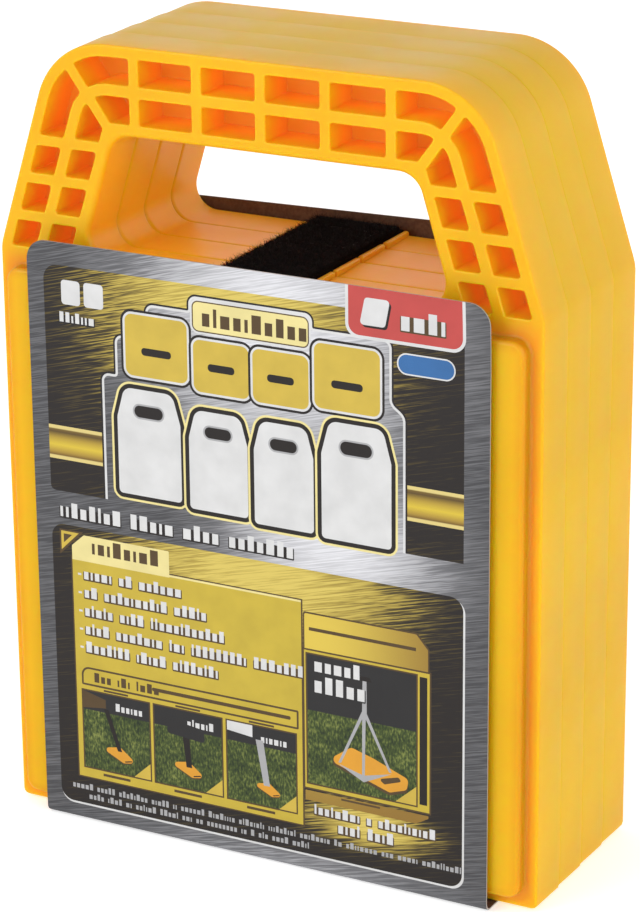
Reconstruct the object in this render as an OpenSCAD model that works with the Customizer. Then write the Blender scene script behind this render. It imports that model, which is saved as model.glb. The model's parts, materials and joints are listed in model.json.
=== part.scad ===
// A four-pack of moulded stabilizer jack pads, nested face to back, held by a
// hook-and-loop storage strap through the handle slots, in a folded wrap card.
// The pack stands upright on its bottom edges. +Z is up, -Y is the card's front,
// and the origin is on the resting surface under the middle of the pack.

/* [Pad outline] */
// Width of a pad at its back rim
pad_w = 166; // [150:1:180]
// Height of a pad from its bottom edge to the top of its handle
pad_h = 228; // [220:1:240]
// Height at which the sides start to lean in towards the handle
shoulder_z = 168; // [164:0.5:172]
// Half-width of the handle's top, where the sides would meet it unrounded
top_half_w = 64; // [58:0.5:70]
// Radius of the handle's two top corners
top_r = 23; // [15:0.5:24]
// Radius of the two shoulders
shoulder_r = 12; // [4:0.5:20]
// Radius of the two bottom corners
bottom_r = 2; // [1:0.5:4]

/* [Pad depth] */
// Depth of a pad, from its front border to its back rim
pad_d = 14.5; // [13:0.1:16]
// Distance between one pad and the next
pitch = 14.8; // [14.8:0.1:17]
// How much narrower each side is at the front than at the back
draft = 0.3; // [0:0.1:1]
// How far the platform stands out in front of the border
platform_h = 4; // [3:0.1:4.5]
// Thickness of moulded plates
plate_t = 2.6; // [2:0.1:3]

/* [Handle] */
// Width of each rib between the handle's cells
rib = 3.1; // [2.5:0.1:4.5]
// Distance from the pad's edge to the outer ring of cells
ring_1 = 3.7; // [3:0.1:4.5]
// Distance from the pad's edge to the inner ring of cells
ring_2 = 14.4; // [14:0.1:15]
// Width of a ring of cells
ring_w = 7.3; // [6:0.1:7.5]
// Distance from the pad's edge to the handle slot
slot_inset = 25.4; // [24:0.1:26]
// Height of the slot's lower edge, the ledge that the strap lies on
ledge_z = 167.4; // [166.6:0.1:168]
// Radius of the slot's corners
slot_r = 7; // [4:0.5:9]
// Spacing of the upright ribs in the top of the handle
rib_pitch_x = 19.25; // [18:0.05:19.5]
// Spacing of the level ribs in the sides of the handle
rib_pitch_z = 10.95; // [10.5:0.05:11]

/* [Tray] */
// Distance from the pad's sides and bottom to the platform
platform_inset = 4; // [3.8:0.1:5]
// Height of the platform's top edge above the pad's bottom edge
platform_top = 162.8; // [160:0.1:163]
// Depth of the tray behind the rim, where the next platform nests
tray_d = 5.5; // [5:0.1:6]
// Room between a platform and the tray it nests in
nest_gap = 0.6; // [0.4:0.1:0.8]
// Number of waffle cells across the tray
waffle_nx = 7; // [4:1:8]
// Number of waffle cells up the tray
waffle_nz = 7; // [4:1:8]
// Width of the waffle's ribs
waffle_rib = 2.2; // [1.8:0.1:3]

/* [Strap] */
// Width of the strap
strap_w = 25.4; // [24:0.2:30]
// Thickness of one layer of strap
strap_t = 1.4; // [1.2:0.1:1.5]
// Distance from the front border to the end of the sewn lap, where the tab starts
tab_start = 29; // [26:1:32]
// Length of the peelable tab
tab_l = 27; // [24:1:28]
// Length of the hook patch under the tab
hook_l = 20; // [16:1:21]
// Thickness of the hook patch
hook_t = 0.5; // [0.4:0.1:0.6]

/* [Wrap card] */
// Width of the card
card_w = 140.8; // [130:0.1:150]
// Height of the card's front panel above the resting surface
card_front_h = 173.2; // [170:0.1:174]
// Height of the card's back panel above the resting surface
card_back_h = 171.5; // [170:0.1:174]
// Thickness of the card
card_t = 0.45; // [0.4:0.05:0.6]
// Radius of the panels' top corners
card_r = 6; // [3:0.5:10]

/* [Hidden] */

$fn = 32;
pads = 4;
gap = 0.1;                       // between faces that lie on each other
base_z = card_t + 0.05;          // the pads stand on the card
face_stack = platform_h + strap_t + card_t + 2 * gap;
back_stack = strap_t + card_t + 2 * gap;
pack_d = face_stack + (pads - 1) * pitch + pad_d + back_stack;
border_y = -pack_d / 2 + face_stack;             // front border of the first pad
rim_y = border_y + (pads - 1) * pitch + pad_d;   // back rim of the last pad
card_front_y = -pack_d / 2;
card_back_y = pack_d / 2;

lean_x = pad_w / 2 - top_half_w;                 // how far a side leans in
lean_z = pad_h - shoulder_z;
lean_l = sqrt(lean_x * lean_x + lean_z * lean_z);

platform_half_w = pad_w / 2 - platform_inset;
platform_r = 4;                                  // platform's corners
edge_r = 0.7;                                    // bevel of the front edges
cell_d = pad_d - plate_t;                        // depth of the handle's cells
cells_bottom_z = 168.1;                          // lower end of the lowest cells
first_rib_z = 199;                               // highest level rib in a side
slot_low_in = 0.5;                               // the slot's sides lean less than the pad's
tray_half_w = platform_half_w + nest_gap;
tray_bottom = platform_inset - nest_gap;
tray_top = platform_top + nest_gap;
waffle_floor_y = plate_t - platform_h;           // behind the platform's plate
waffle_top_y = pad_d - tray_d;
waffle_edge = platform_inset + plate_t;          // the pad's edge to the waffle

ridge_w = 1.7;                                   // guides beside the strap
ridge_h = 1.5;
ridge_l = 13.4;
notch_half_w = strap_w / 2 + 1;                  // clearance under the pads
notch_run = 2.5;                                 // the notch's slanted ends
notch_h = 1.6;

ledge = base_z + ledge_z;
inner_z = ledge + gap + strap_t / 2;             // middle of the inner layer
outer_z = inner_z + strap_t + 2 * gap;           // middle of the outer layer
under_z = base_z + 0.05 + strap_t / 2;           // middle of the bottom run
strap_front_y = card_front_y + card_t + gap + strap_t / 2;
strap_back_y = rim_y + gap + strap_t / 2;
middle_y = border_y + 2 * pitch - 0.3;           // where both halves meet below
tab_y = border_y + tab_start;
stitch = [1.9, 0.5, 0.2];                        // length, width, height

// Points of an arc that rounds corner v of a loop between its neighbours
function corner_arc(a, v, b, r, n) =
    let (u = (a - v) / norm(a - v), w = (b - v) / norm(b - v),
         half = acos(u * w) / 2, c = v + (u + w) / norm(u + w) * r / sin(half),
         s = v + u * r / tan(half) - c, a0 = atan2(s[1], s[0]))
    [for (k = [0 : n]) c + r * [cos(a0 + k * (180 - 2 * half) / n),
                                sin(a0 + k * (180 - 2 * half) / n)]];

// An anticlockwise loop with every corner rounded by its own radius
function rounded(pts, radii, n = 8) =
    [for (i = [0 : len(pts) - 1])
        each corner_arc(pts[(i + len(pts) - 1) % len(pts)], pts[i],
                        pts[(i + 1) % len(pts)], radii[i], n)];

// Corners on the right side, moved in from the pad's edge by o
function shoulder(o) = [pad_w / 2 - o, shoulder_z - o * (lean_l - lean_z) / lean_x];
function top_corner(o) = [top_half_w - o * (lean_l - lean_x) / lean_z, pad_h - o];
function flip(p) = [-p[0], p[1]];

// The pad's outline, moved in by o
function outline(o) =
    rounded([[o - pad_w / 2, o], [pad_w / 2 - o, o], shoulder(o), top_corner(o),
             flip(top_corner(o)), flip(shoulder(o))],
            [for (r = [bottom_r, bottom_r, shoulder_r, top_r, top_r, shoulder_r])
                max(r - o, 0.6)]);

// Half-width between the leaning sides at height z, moved in by o
function lean_half_w(o, z) = top_corner(o)[0] + (pad_h - o - z) * lean_x / lean_z;

// Puts a flat shape, drawn as width and height, between two depths
module between(y0, y1) {
    translate([0, y1, 0]) rotate([90, 0, 0]) linear_extrude(y1 - y0) children();
}

// Middle line of a band given width t, as a closed loop
function band_side(pts, t) =
    [for (i = [0 : len(pts) - 1])
        let (u = i == 0 ? pts[1] - pts[0] : pts[i] - pts[i - 1],
             w = i == len(pts) - 1 ? u : pts[i + 1] - pts[i],
             a = u / norm(u), b = w / norm(w),
             m = [-a[1] - b[1], a[0] + b[0]])
        pts[i] + t * m / (1 + a * b)];
function band(pts, t) =
    concat(band_side(pts, t / 2),
           let (back = band_side(pts, -t / 2)) [for (i = [len(back) - 1 : -1 : 0]) back[i]]);

// Puts a band, drawn in depth and height, across the strap's width
module across(w) {
    translate([-w / 2, 0, 0]) rotate([90, 0, 90]) linear_extrude(w) children();
}

module slot_shape() {
    top = top_corner(slot_inset);
    low = [lean_half_w(slot_inset, ledge_z) - slot_low_in, ledge_z];
    polygon(rounded([flip(low), low, top, flip(top)], [for (k = [0 : 3]) slot_r]));
}

// Clears the strap's run under the pads
module notch_shape() {
    low = notch_half_w + notch_run;
    polygon([[-low, -1], [low, -1], [low, 0], [notch_half_w, notch_h],
             [-notch_half_w, notch_h], [-low, 0]]);
}

// One ring of cells round the handle, cut by its ribs
module cell_ring(o) {
    difference() {
        polygon(outline(o));
        polygon(outline(o + ring_w));
        translate([-pad_w / 2, 0]) square([pad_w, cells_bottom_z]);
        for (k = [-2 : 2])
            translate([k * rib_pitch_x - rib / 2, pad_h - slot_inset]) square([rib, slot_inset]);
        for (k = [0 : 2])
            translate([-pad_w / 2, first_rib_z - k * rib_pitch_z - rib / 2]) square([pad_w, rib]);
        for (side = [-1, 1])
            translate([side * top_half_w, pad_h])
                rotate(-side * atan2(lean_l - lean_x, lean_z))
                    translate([-rib / 2, -1.5 * slot_inset]) square([rib, 1.5 * slot_inset]);
    }
}

module platform_shape(o = 0) {
    x = platform_half_w - o;
    polygon(rounded([[-x, platform_inset + o], [x, platform_inset + o],
                     [x, platform_top - o], [-x, platform_top - o]],
                    [for (k = [0 : 3]) platform_r - o], 6));
}

// The drafted block and the platform in front of it
module pad_block() {
    hull() {
        between(0, 0.01) polygon(outline(draft + edge_r));
        between(edge_r, edge_r + 0.01) polygon(outline(draft));
        between(pad_d - 0.01, pad_d) polygon(outline(0));
    }
    hull() {
        between(-platform_h, -platform_h + 0.01) platform_shape(edge_r);
        between(edge_r - platform_h, 0.5) platform_shape();
    }
}

module waffle_cells() {
    w = 2 * (pad_w / 2 - waffle_edge);
    h = platform_top - plate_t - waffle_edge;
    cell_w = (w + waffle_rib) / waffle_nx - waffle_rib;
    cell_h = (h + waffle_rib) / waffle_nz - waffle_rib;
    for (i = [0 : waffle_nx - 1], k = [0 : waffle_nz - 1])
        translate([-w / 2 + i * (cell_w + waffle_rib), waffle_floor_y,
                   waffle_edge + k * (cell_h + waffle_rib)])
            cube([cell_w, waffle_top_y - waffle_floor_y + 1, cell_h]);
}

module pad(number) {
    translate([0, border_y + (number - 1) * pitch, base_z]) {
        difference() {
            pad_block();
            between(-1, pad_d + 1) slot_shape();
            between(-1, cell_d) cell_ring(ring_1);
            between(-1, cell_d) cell_ring(ring_2);
            translate([-tray_half_w, waffle_top_y, tray_bottom])
                cube([2 * tray_half_w, tray_d + 1, tray_top - tray_bottom]);
            waffle_cells();
            between(-1, pad_d + 1) notch_shape();
        }
        for (side = [-1, 1])
            translate([side * (strap_w / 2 + 1.3) - ridge_w / 2, (pad_d - ridge_l) / 2, ledge_z - 0.5])
                cube([ridge_w, ridge_l, ridge_h + 0.5]);
    }
}

module pad_1() { color("gold") pad(1); }
module pad_2() { color("gold") pad(2); }
module pad_3() { color("gold") pad(3); }
module pad_4() { color("gold") pad(4); }

// Outer top layer, front run and front half of the bottom run
module strap_front() {
    color("#1c1a1c") across(strap_w)
        polygon(band([[tab_y, outer_z], [border_y - 0.9, outer_z],
                      [strap_front_y, outer_z - 5.3], [strap_front_y, under_z],
                      [middle_y - 0.3, under_z]], strap_t));
}

// The tab's end is full thickness, and the rest lies over the hook patch
module strap_tab() {
    y0 = tab_y + 0.15;
    z0 = outer_z - strap_t / 2;
    z1 = outer_z + strap_t / 2;
    color("#1c1a1c") across(strap_w)
        polygon([[y0, z0 + hook_t], [y0 + hook_l, z0 + hook_t], [y0 + hook_l, z0],
                 [y0 + tab_l, z0], [y0 + tab_l, z1], [y0, z1]]);
}

module strap_hook_patch() {
    color("#2a282a")
        translate([1 - strap_w / 2, tab_y + 0.15, outer_z - strap_t / 2])
            cube([strap_w - 2, hook_l, hook_t]);
}

// Lock stitches that sew the hook patch to the tab, round its edge
module strap_stitching() {
    y0 = tab_y + 2.2;
    z = outer_z + strap_t / 2;
    half_w = strap_w / 2 - 3;
    spacing = (2 * half_w - 1.6 - stitch[0]) / 6;
    color("#333033") {
        for (side = [-1, 1], k = [0 : 5])
            translate([side * half_w - stitch[1] / 2, y0 + k * 3, z])
                cube([stitch[1], stitch[0], stitch[2]]);
        for (end = [0, 1], k = [0 : 6])
            translate([-half_w + 0.8 + k * spacing, y0 + end * (hook_l - 4) - 0.7, z])
                cube([stitch[0], stitch[1], stitch[2]]);
    }
}

// Back run, inner top layer and rear half of the bottom run
module strap_rear() {
    color("#1c1a1c") across(strap_w)
        polygon(band([[border_y + 1, inner_z], [strap_back_y, inner_z],
                      [strap_back_y, under_z], [middle_y + 0.3, under_z]], strap_t));
}

module card_panel(y0, h) {
    between(y0, y0 + card_t)
        polygon(rounded([[-card_w / 2, card_t], [card_w / 2, card_t],
                         [card_w / 2, h], [-card_w / 2, h]],
                        [0.2, 0.2, card_r, card_r]));
}

module card_flap(y0, y1) {
    translate([-card_w / 2, y0, 0]) cube([card_w, y1 - y0, card_t - 0.01]);
}

module card_front_panel() { color("dimgray") card_panel(card_front_y, card_front_h); }
module card_back_panel() { color("dimgray") card_panel(card_back_y - card_t, card_back_h); }
module card_front_flap() { color("silver") card_flap(card_front_y, middle_y - 0.3); }
module card_back_flap() { color("silver") card_flap(middle_y + 0.3, card_back_y); }

pad_1();
pad_2();
pad_3();
pad_4();
strap_front();
strap_tab();
strap_hook_patch();
strap_stitching();
strap_rear();
card_front_panel();
card_front_flap();
card_back_panel();
card_back_flap();
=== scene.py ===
"""Looks of a pack of nested stabilizer jack pads: pads, storage strap and wrap card.

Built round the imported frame, in metres, +Z up. Flat shapes are worked out in
millimetres, as (x, z) points seen from the front, and turned into meshes by Shell.
"""
import json
import math
import random

import bpy
import numpy as np
from mathutils import Matrix, Vector
from mathutils.geometry import delaunay_2d_cdt

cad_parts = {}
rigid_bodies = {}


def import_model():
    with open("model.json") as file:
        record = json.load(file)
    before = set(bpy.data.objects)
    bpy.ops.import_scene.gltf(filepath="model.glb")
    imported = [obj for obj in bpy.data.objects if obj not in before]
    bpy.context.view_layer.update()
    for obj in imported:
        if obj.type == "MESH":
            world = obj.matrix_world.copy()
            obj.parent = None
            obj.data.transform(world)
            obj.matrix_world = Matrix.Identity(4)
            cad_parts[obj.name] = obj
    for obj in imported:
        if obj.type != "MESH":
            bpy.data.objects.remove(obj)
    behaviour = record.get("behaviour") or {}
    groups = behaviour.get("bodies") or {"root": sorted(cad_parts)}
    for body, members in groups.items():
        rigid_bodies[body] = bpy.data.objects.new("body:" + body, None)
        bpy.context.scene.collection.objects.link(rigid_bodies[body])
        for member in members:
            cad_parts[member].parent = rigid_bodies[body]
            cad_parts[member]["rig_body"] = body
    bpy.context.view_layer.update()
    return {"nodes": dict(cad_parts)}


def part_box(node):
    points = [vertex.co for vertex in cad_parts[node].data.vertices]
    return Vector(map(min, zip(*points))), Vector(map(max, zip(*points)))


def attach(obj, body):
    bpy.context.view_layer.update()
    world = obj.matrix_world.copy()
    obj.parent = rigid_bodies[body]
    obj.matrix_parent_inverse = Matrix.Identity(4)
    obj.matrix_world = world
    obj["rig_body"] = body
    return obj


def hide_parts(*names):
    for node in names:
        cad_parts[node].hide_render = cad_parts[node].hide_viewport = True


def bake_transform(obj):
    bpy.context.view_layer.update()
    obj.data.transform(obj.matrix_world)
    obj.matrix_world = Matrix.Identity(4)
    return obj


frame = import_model()

MM = 0.001


def box(name):
    """A CAD node's lowest and highest corners, in mm."""
    return tuple(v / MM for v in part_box(name))


# ---------------------------------------------------------------- dimensions, mm, and the camera's, m
pad_low, pad_high = box("pad_1")
PLATFORM_H = 4.0
PAD_W = pad_high.x - pad_low.x
PAD_H = pad_high.z - pad_low.z
PAD_D = pad_high.y - pad_low.y - PLATFORM_H
SHOULDER_Z = 168.0
TOP_HALF_W = 64.0
TOP_R = 23.0
SHOULDER_R = 12.0
BOTTOM_R = 2.0
DRAFT = 0.3
FRONT_R = 0.7
BACK_R = 0.4
CROWN = 0.09
# Painted shade and glow at each pad's back edge, for the seam's shadow between pads.
SEAM_PAINTED_SHADE = 0.35
NOTCH_HALF_W = 13.7
NOTCH_H = 1.6
NOTCH_RUN = 2.5

PLATE_T = 2.6
CELL_D = PAD_D - PLATE_T
RIB = 3.1
RINGS = (3.7, 14.4)
RING_W = 7.3
RIB_PITCH_X = 19.25
RIB_PITCH_Z = 10.95
FIRST_RIB_Z = 199.0
CELLS_BOTTOM_Z = 168.1
CELL_R = 0.7
CELL_EDGE_R = 0.5
CELL_FLOOR_R = 0.35
CELL_DRAFT = 0.25
# Strength of the painted glow in the pads' pockets, slot, seams and foot groove.
CELL_GLOW = 0.16

SLOT_INSET = 25.4
SLOT_R = 7.0
LEDGE_Z = 167.4
SLOT_FRONT_R = 1.7
SLOT_BACK_R = 0.9
SLOT_DRAFT = 0.2
# Painted shade and glow on the slot's walls and on the ridges of its ledge.
SLOT_PAINTED_SHADE = 0.42
SLOT_LOW_IN = 0.5

PLATFORM_INSET = 4.0
PLATFORM_TOP = 162.8
PLATFORM_R = 4.0
PLATFORM_EDGE_R = 1.3
PLATFORM_FOOT_R = 1.0
# Painted shade and glow in the groove at the platform's foot, and how far its painted shade fades out onto
# the platform's face.
FOOT_PAINTED_SHADE = 0.5
PAINTED_SHADE_RUN = 2
TRAY_D = 5.5
NEST_GAP = 0.6
TRAY_R = 4.4
WAFFLE_N = 7
WAFFLE_RIB = 2.2
WAFFLE_EDGE_R = 0.4
RIDGE_X = 14.0
RIDGE_W = 1.7
RIDGE_H = 1.5
RIDGE_L = 13.4
RIDGE_ROOT = 0.8

STRAP_W = 25.4
STRAP_T = 1.4
HOOK_T = 0.5
PILE_HALF_RUN = 30.0
FIBRES = 7.0
EDGE_FIBRES = 14.0
CARD_T = 0.44
CARD_R = 6.0
CARD_FOLD_R = 2.5
LAP = 18.0
LAP_T = 0.2
FOLD_END = CARD_FOLD_R * (1 - math.pi / 2)
BEAM_Z = (110.3, 120.2)
STREAK_TURN = 15

CAMERA_AZ = 28.165
CAMERA_EL = 19.644
CAMERA_ROLL = -0.531
CAMERA_DISTANCE = 0.9867
CAMERA_LENS = 135.93
CAMERA_TARGET = Vector((-0.009667, 0.02255, 0.10156))
LIGHT_SIZE = 0.9
LIGHT_TARGET = Vector((0, 0, 0.1))
FLOOR_W = 12000.0
SKY = ((0.0, 0.95), (0.35, 0.85), (0.75, 0.60))

LEAN_X = PAD_W / 2 - TOP_HALF_W
LEAN_Z = PAD_H - SHOULDER_Z
LEAN_L = math.hypot(LEAN_X, LEAN_Z)


# ---------------------------------------------------------------- flat shapes
def unit(v):
    return v / np.linalg.norm(v)


def unit_rows(v):
    return v / np.linalg.norm(v, axis=1)[:, None]


def corner_arc(before, at, after, radius, step):
    """Points of the arc that rounds one corner of a loop."""
    u = unit(before - at)
    w = unit(after - at)
    half = math.acos(max(-1.0, min(1.0, float(u @ w)))) / 2
    reach = min(radius / math.tan(half), 0.49 * np.linalg.norm(before - at),
                0.49 * np.linalg.norm(after - at))
    radius = reach * math.tan(half)
    centre = at + unit(u + w) * radius / math.sin(half)
    start = at + u * reach - centre
    end = at + w * reach - centre
    sweep = math.pi - 2 * half
    sign = 1 if start[0] * end[1] - start[1] * end[0] > 0 else -1
    count = max(2, math.ceil(radius * sweep / step))
    first = math.atan2(start[1], start[0])
    angles = [first + sign * sweep * k / count for k in range(count + 1)]
    return [centre + radius * np.array([math.cos(a), math.sin(a)]) for a in angles]


def rounded(corners, radius, step=1.2):
    """An anticlockwise loop with rounded corners, by one radius or by one for each corner."""
    corners = [np.array(c, float) for c in corners]
    radii = radius if isinstance(radius, list) else [radius] * len(corners)
    loop = []
    for i, at in enumerate(corners):
        after = corners[(i + 1) % len(corners)]
        loop += corner_arc(corners[i - 1], at, after, radii[i], step) if radii[i] > 0 else [at]
    return np.array(loop)


def round_turns(points, radius, least_turn=18.0, step=0.5):
    """Rounds only the sharp corners of a loop whose curves are already points."""
    points = [np.array(p, float) for p in points]
    radii = []
    for i, at in enumerate(points):
        a = unit(at - points[i - 1])
        b = unit(points[(i + 1) % len(points)] - at)
        turn = math.degrees(math.acos(max(-1.0, min(1.0, float(a @ b)))))
        radii.append(radius if turn > least_turn else 0.0)
    return rounded(points, radii, step)


def loop_normals(loop):
    """Outward normals of an anticlockwise loop, long enough to offset its sides by 1."""
    before = loop - np.roll(loop, 1, axis=0)
    after = np.roll(loop, -1, axis=0) - loop
    a, b = (unit_rows(np.stack([v[:, 1], -v[:, 0]], 1)) for v in (before, after))
    mid = unit_rows(a + b)
    return mid / (mid * a).sum(1)[:, None]


def shoulder(o):
    return np.array([PAD_W / 2 - o, SHOULDER_Z - o * (LEAN_L - LEAN_Z) / LEAN_X])


def top_corner(o):
    return np.array([TOP_HALF_W - o * (LEAN_L - LEAN_X) / LEAN_Z, PAD_H - o])


def mirrored(p):
    return np.array([-p[0], p[1]])


def lean_half_w(o, z):
    return top_corner(o)[0] + (PAD_H - o - z) * LEAN_X / LEAN_Z


def pad_outline():
    """The pad's edge at its widest, with the strap's notch in its bottom."""
    notch = [(-NOTCH_HALF_W - NOTCH_RUN, 0), (-NOTCH_HALF_W, NOTCH_H),
             (NOTCH_HALF_W, NOTCH_H), (NOTCH_HALF_W + NOTCH_RUN, 0)]
    corners = [(-PAD_W / 2, 0), *notch, (PAD_W / 2, 0), shoulder(0), top_corner(0),
               mirrored(top_corner(0)), mirrored(shoulder(0))]
    radii = [BOTTOM_R, 2.5, 2, 2, 2.5, BOTTOM_R, SHOULDER_R, TOP_R, TOP_R, SHOULDER_R]
    return rounded(corners, radii)


def slot_outline():
    top = top_corner(SLOT_INSET)
    low = np.array([lean_half_w(SLOT_INSET, LEDGE_Z) - SLOT_LOW_IN, LEDGE_Z])
    return rounded([mirrored(low), low, top, mirrored(top)], SLOT_R, 0.8)


def handle_path(o):
    """The right half of the outline moved in by o, from below the cells up to the middle."""
    radius = max(TOP_R - o, 0.3)
    low = np.array([lean_half_w(o, CELLS_BOTTOM_Z - 20), CELLS_BOTTOM_Z - 20])
    middle = np.array([-RIB_PITCH_X, PAD_H - o])
    return [low, *corner_arc(low, top_corner(o), middle, radius, 2.6), middle]


def cut_path(path, cut_from, cut_to):
    """The stretch of a path between two lines, each (point, normal towards the path's end)."""
    least = 1.4

    def crossing(cut):
        point, normal = cut
        side = [float((p - point) @ normal) for p in path]
        for i in range(len(path) - 1):
            if side[i] < 0 <= side[i + 1]:
                t = side[i] / (side[i] - side[i + 1])
                return i, path[i] + t * (path[i + 1] - path[i])
        raise ValueError("the path doesn't cross the line")

    i, start = crossing(cut_from)
    j, end = crossing(cut_to)
    inner = [p for p in path[i + 1:j + 1]
             if min(np.linalg.norm(p - start), np.linalg.norm(p - end)) > least]
    return [start, *inner, end]


def handle_cuts():
    """Both edges of each rib that crosses the rings of cells, from the right side to the middle."""
    up = np.array([0.0, 1.0])
    left = np.array([-1.0, 0.0])
    along = unit(np.array([-(LEAN_L - LEAN_X) / LEAN_Z, -1.0]))
    across = np.array([along[1], -along[0]])
    ribs = [(np.array([0, FIRST_RIB_Z - k * RIB_PITCH_Z]), up) for k in (2, 1, 0)]
    ribs.append((np.array([TOP_HALF_W, PAD_H]), across))
    ribs += [(np.array([k * RIB_PITCH_X, 0]), left) for k in (2, 1, 0)]
    edges = [(np.array([0, CELLS_BOTTOM_Z]), up)]
    for point, normal in ribs:
        edges += [(point - normal * RIB / 2, normal), (point + normal * RIB / 2, normal)]
    return edges[:-1]


def handle_cells():
    """Every cell round the slot, as anticlockwise loops."""
    edges = handle_cuts()
    cells = []
    for ring in RINGS:
        for k in range(0, len(edges), 2):
            outer = cut_path(handle_path(ring), edges[k], edges[k + 1])
            inner = cut_path(handle_path(ring + RING_W), edges[k], edges[k + 1])
            cell = round_turns(outer + inner[::-1], CELL_R)
            cells.append(cell)
            cells.append(cell[::-1] * np.array([-1, 1]))
    return cells


def rectangle(x0, z0, x1, z1, radius, step=0.8):
    return rounded([(x0, z0), (x1, z0), (x1, z1), (x0, z1)], radius, step)


def waffle_cells():
    edge = PLATFORM_INSET + PLATE_T
    half_w = PAD_W / 2 - edge
    height = PLATFORM_TOP - PLATE_T - edge
    pitch_x = (2 * half_w + WAFFLE_RIB) / WAFFLE_N
    pitch_z = (height + WAFFLE_RIB) / WAFFLE_N
    cells = []
    for i in range(WAFFLE_N):
        for k in range(WAFFLE_N):
            x = -half_w + i * pitch_x
            z = edge + k * pitch_z
            cells.append(rectangle(x, z, x + pitch_x - WAFFLE_RIB, z + pitch_z - WAFFLE_RIB, 1.2, 1.0))
    return cells


# ---------------------------------------------------------------- meshes
def inside(points, loop):
    """Which points lie inside a loop, by the even-odd rule."""
    x, z = points[:, 0][:, None], points[:, 1][:, None]
    x0, z0 = loop[:, 0], loop[:, 1]
    x1, z1 = np.roll(x0, -1), np.roll(z0, -1)
    spans = (z0 > z) != (z1 > z)
    with np.errstate(divide="ignore", invalid="ignore"):
        crossing = (x1 - x0) * (z - z0) / (z1 - z0) + x0
    return (spans & (x < crossing)).sum(1) % 2 == 1


def triangulate(loops, epsilon):
    """Triangles cut along loops and two-point lines, as (points, triangles, points' sources)."""
    coords = []
    edges = []
    for loop in loops:
        first = len(coords)
        coords += [Vector(p) for p in loop]
        count = len(loop) if len(loop) > 2 else 1
        edges += [(first + i, first + (i + 1) % len(loop)) for i in range(count)]
    points, _, triangles, sources, *_ = delaunay_2d_cdt(coords, edges, [], 0, epsilon)
    points = np.array([tuple(v) for v in points])
    triangles = np.array(triangles)
    a, b, c = (points[triangles[:, i]] for i in range(3))
    area = (b[:, 0] - a[:, 0]) * (c[:, 1] - a[:, 1]) - (b[:, 1] - a[:, 1]) * (c[:, 0] - a[:, 0])
    triangles[area < 0] = triangles[area < 0][:, ::-1]
    return points, triangles, sources


def show(name, data):
    """An object of its own for a mesh, a light or a camera."""
    thing = bpy.data.objects.new(name, data)
    bpy.context.scene.collection.objects.link(thing)
    return thing


def new_mesh(name, points, faces, materials, sharp=None):
    """A smooth-shaded mesh from points in mm, with edges over some degrees kept sharp."""
    mesh = bpy.data.meshes.new(name)
    mesh.from_pydata((np.array(points) * MM).tolist(), [], faces)
    for material in materials:
        mesh.materials.append(material)
    mesh.shade_smooth()
    if sharp:
        mesh.set_sharp_from_angle(angle=math.radians(sharp))
    return mesh


def tube_faces(first, rings, size, flip):
    """Faces of a closed tube whose rings of points follow each other: its sides, then its ends."""
    last = first + (rings - 1) * size
    faces = []
    for start in range(first, last, size):
        for k in range(size):
            a, b = start + k, start + (k + 1) % size
            faces.append((a, b, b + size, a + size))
    faces += [tuple(range(first, first + size))[::-1], tuple(range(last, last + size))]
    return [face[::-1] for face in faces] if flip else faces


def stand_in(piece, slot, *nodes, body=None):
    """Hides the CAD nodes a piece stands in for, and attaches it to its body if it has just one. slot, for
    its finish, is not used.
    """
    if body:
        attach(piece, body)
    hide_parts(*nodes)


def quarter(count=4):
    """Steps of a quarter turn, as (how far along the face, how far down the wall)."""
    angles = [math.pi / 2 * k / count for k in range(count + 1)]
    return [(math.sin(a), math.cos(a)) for a in angles]


class Shell:
    """Gathers a closed mesh from loops at different depths, with exact normals."""

    def __init__(self):
        self.points = []
        self.normals = []
        self.hollow = []
        self.crease = []
        self.faces = []

    def ring(self, loop, normals, offset, depth, lean, facing, hollow=0.0, crease=0.0):
        """A loop moved out by offset at a depth. lean and facing make up its normal.

        The next value is painted shade and glow, from 0 to 1: how far down a pocket the loop lies,
        or a set amount in the slot and at the seams. The last is painted shade in the groove at the
        platform's foot, from 0 to 1.
        """
        first = len(self.points)
        for p, n, f in zip(loop, normals, unit_rows(normals)):
            q = p + n * offset
            self.points.append((q[0], depth, q[1]))
            self.normals.append((f[0] * lean, facing, f[1] * lean))
        self.hollow += [hollow] * len(loop)
        self.crease += [crease] * len(loop)
        return list(range(first, first + len(loop)))

    def wall(self, loop, profile, turned, closed=False):
        """Walls along a loop's profile, with a flat face at its last ring if closed."""
        normals = loop_normals(loop)
        rings = [self.ring(loop, normals, *step) for step in profile]
        for a, b in zip(rings, rings[1:]):
            for i in range(len(a)):
                j = (i + 1) % len(a)
                self.faces.append((a[i], b[i], b[j], a[j]) if turned else (a[i], a[j], b[j], b[i]))
        if closed:
            self.flat(rings[-1], [], turned)
        return rings

    def flat(self, outer, holes, backwards=False):
        """A flat face between an outer ring and its holes."""
        rings = [outer, *holes]
        loops = [np.array([self.points[i] for i in ring])[:, ::2] for ring in rings]
        points, triangles, sources = triangulate(loops, 1e-7)
        if not all(sources):
            raise ValueError("loops of a flat face cross")
        centres = points[triangles].mean(1)
        keep = inside(centres, loops[0])
        for loop in loops[1:]:
            keep &= ~inside(centres, loop)
        index = [i for ring in rings for i in ring]
        way = -1 if backwards else 1
        self.faces += [tuple(index[sources[i][0]] for i in tri[::way]) for tri in triangles[keep]]

    def mesh(self, name, material):
        mesh = new_mesh(name, self.points, self.faces, [material])
        mesh.normals_split_custom_set_from_vertices([Vector(n).normalized() for n in self.normals])
        # Painted shade and glow, and painted shade at the platform's foot, for the resin's colour and
        # emission
        mesh.attributes.new("hollow", "FLOAT", "POINT").data.foreach_set("value", self.hollow)
        mesh.attributes.new("crease", "FLOAT", "POINT").data.foreach_set("value", self.crease)
        mesh.update()
        return mesh


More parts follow.
